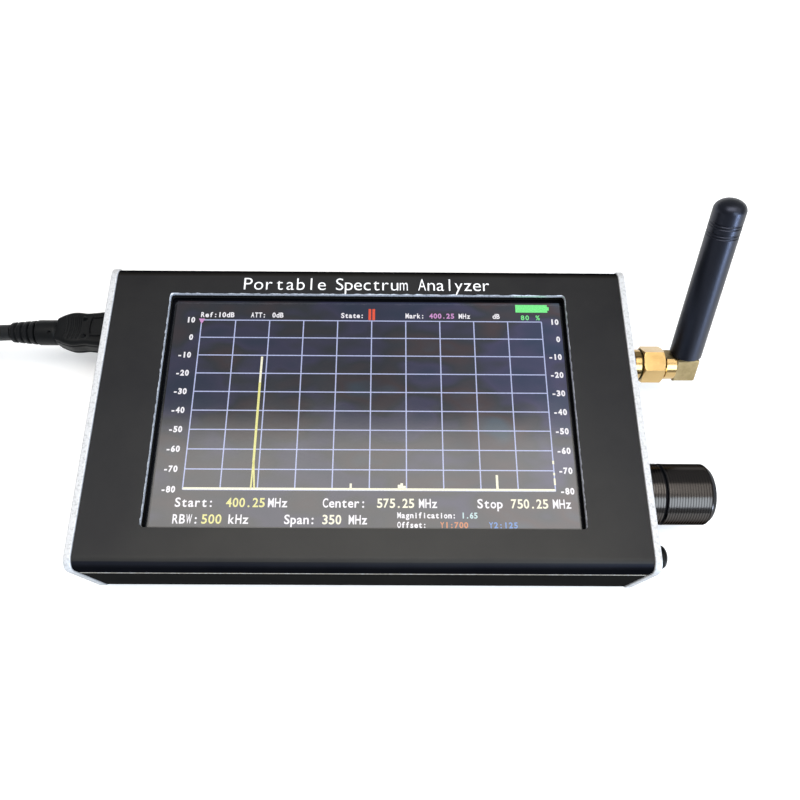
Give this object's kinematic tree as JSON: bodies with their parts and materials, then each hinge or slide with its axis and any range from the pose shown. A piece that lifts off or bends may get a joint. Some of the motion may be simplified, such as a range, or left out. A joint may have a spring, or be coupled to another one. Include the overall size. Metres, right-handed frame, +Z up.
{
  "type": "spectrum analyzer",
  "caption": "Handheld spectrum analyzer: flat metal case with a windowed screen on top, a bent stub aerial, a push-and-turn knob and a run key on one end, and a charging lead on the other.",
  "frame": {"origin": "centre of the underside, on the table", "axes": "+X to the right along the case, +Y to the back, +Z up out of the screen"},
  "size_m": [0.2551, 0.1048, 0.0494],
  "materials": {
    "black_anodised": "fine satin, anodised charcoal black",
    "bare_aluminium": "fine blasted, natural anodised",
    "turned_black": "turned, anodised black, bright tool rings",
    "steel": "plain",
    "gold": "gold plated, bright",
    "satin_gold": "gold plated, satin",
    "black_rubber": "satin moulded",
    "black_plastic": "satin",
    "moulding": "fine matt moulded",
    "cord": "satin cable jacket",
    "screen_glass": "clear over a lit screen",
    "green_board": "solder mask",
    "battery_foil": "foil pouch"
  },
  "bodies": {
    "root": {"aerial_jack": "gold", "aerial_jack_nut": "gold", "aerial_jack_washer": "gold", "battery": "battery_foil", "board_screw_1": "steel", "board_screw_2": "steel", "board_screw_3": "steel", "board_screw_4": "steel", "cord_coil": "cord", "cord_tail": "cord", "cord_tube": "cord", "encoder_body": "black_plastic", "encoder_bushing": "steel", "encoder_nut": "steel", "encoder_washer": "steel", "end_plate_left": "bare_aluminium", "end_plate_right": "bare_aluminium", "key_switch": "black_plastic", "lower_case": "black_anodised", "main_board": "green_board", "plate_screw_left_1": "steel", "plate_screw_left_2": "steel", "plate_screw_left_3": "steel", "plate_screw_left_4": "steel", "plate_screw_right_1": "steel", "plate_screw_right_2": "steel", "plate_screw_right_3": "steel", "plate_screw_right_4": "steel", "power_switch_body": "black_plastic", "processor": "black_plastic", "screen_board": "green_board", "screen_frame": "steel", "screen_glass": "screen_glass", "shield_can": "steel", "standoff_1": "gold", "standoff_2": "gold", "standoff_3": "gold", "standoff_4": "gold", "top_cover": "black_anodised", "usb_a_moulding": "moulding", "usb_a_relief": "moulding", "usb_a_shell": "steel", "usb_plug_moulding": "moulding", "usb_plug_shell": "steel", "usb_socket": "steel", "usb_strain_relief": "moulding"},
    "knob_plunger": {"encoder_plunger": "black_plastic"},
    "knob_turning": {"encoder_shaft": "steel", "knob": "turned_black", "knob_set_screw": "steel"},
    "run_key": {"key_cap": "black_plastic"},
    "power_lever": {"power_switch_lever": "black_plastic"},
    "aerial": {"aerial_elbow": "satin_gold", "aerial_sleeve": "black_rubber"},
    "aerial_nut": {"coupling_nut": "gold"}
  },
  "joints": [
    {"name": "knob_push", "type": "slide", "parent": "root", "child": "knob_plunger", "axis": [-1, 0, 0], "range_m": [0, 0.0005], "stiffness_N_per_m": 2000},
    {"name": "knob_turn", "type": "hinge", "parent": "knob_plunger", "child": "knob_turning", "pos_m": [0.07, -0.01655, 0.012], "axis": [1, 0, 0], "continuous": true},
    {"name": "key_press", "type": "slide", "parent": "root", "child": "run_key", "axis": [-1, 0, 0], "range_m": [0, 0.0005], "stiffness_N_per_m": 800},
    {"name": "power_slide", "type": "slide", "parent": "root", "child": "power_lever", "axis": [0, 1, 0], "range_m": [0, 0.002]},
    {"name": "aerial_nut_spin", "type": "hinge", "parent": "root", "child": "aerial_nut", "pos_m": [0.0686, 0.01655, 0.012], "axis": [1, 0, 0], "continuous": true},
    {"name": "aerial_swivel", "type": "hinge", "parent": "root", "child": "aerial", "pos_m": [0.0777, 0.01655, 0.012], "axis": [1, 0, 0], "range_deg": [-70, 98]}
  ]
}
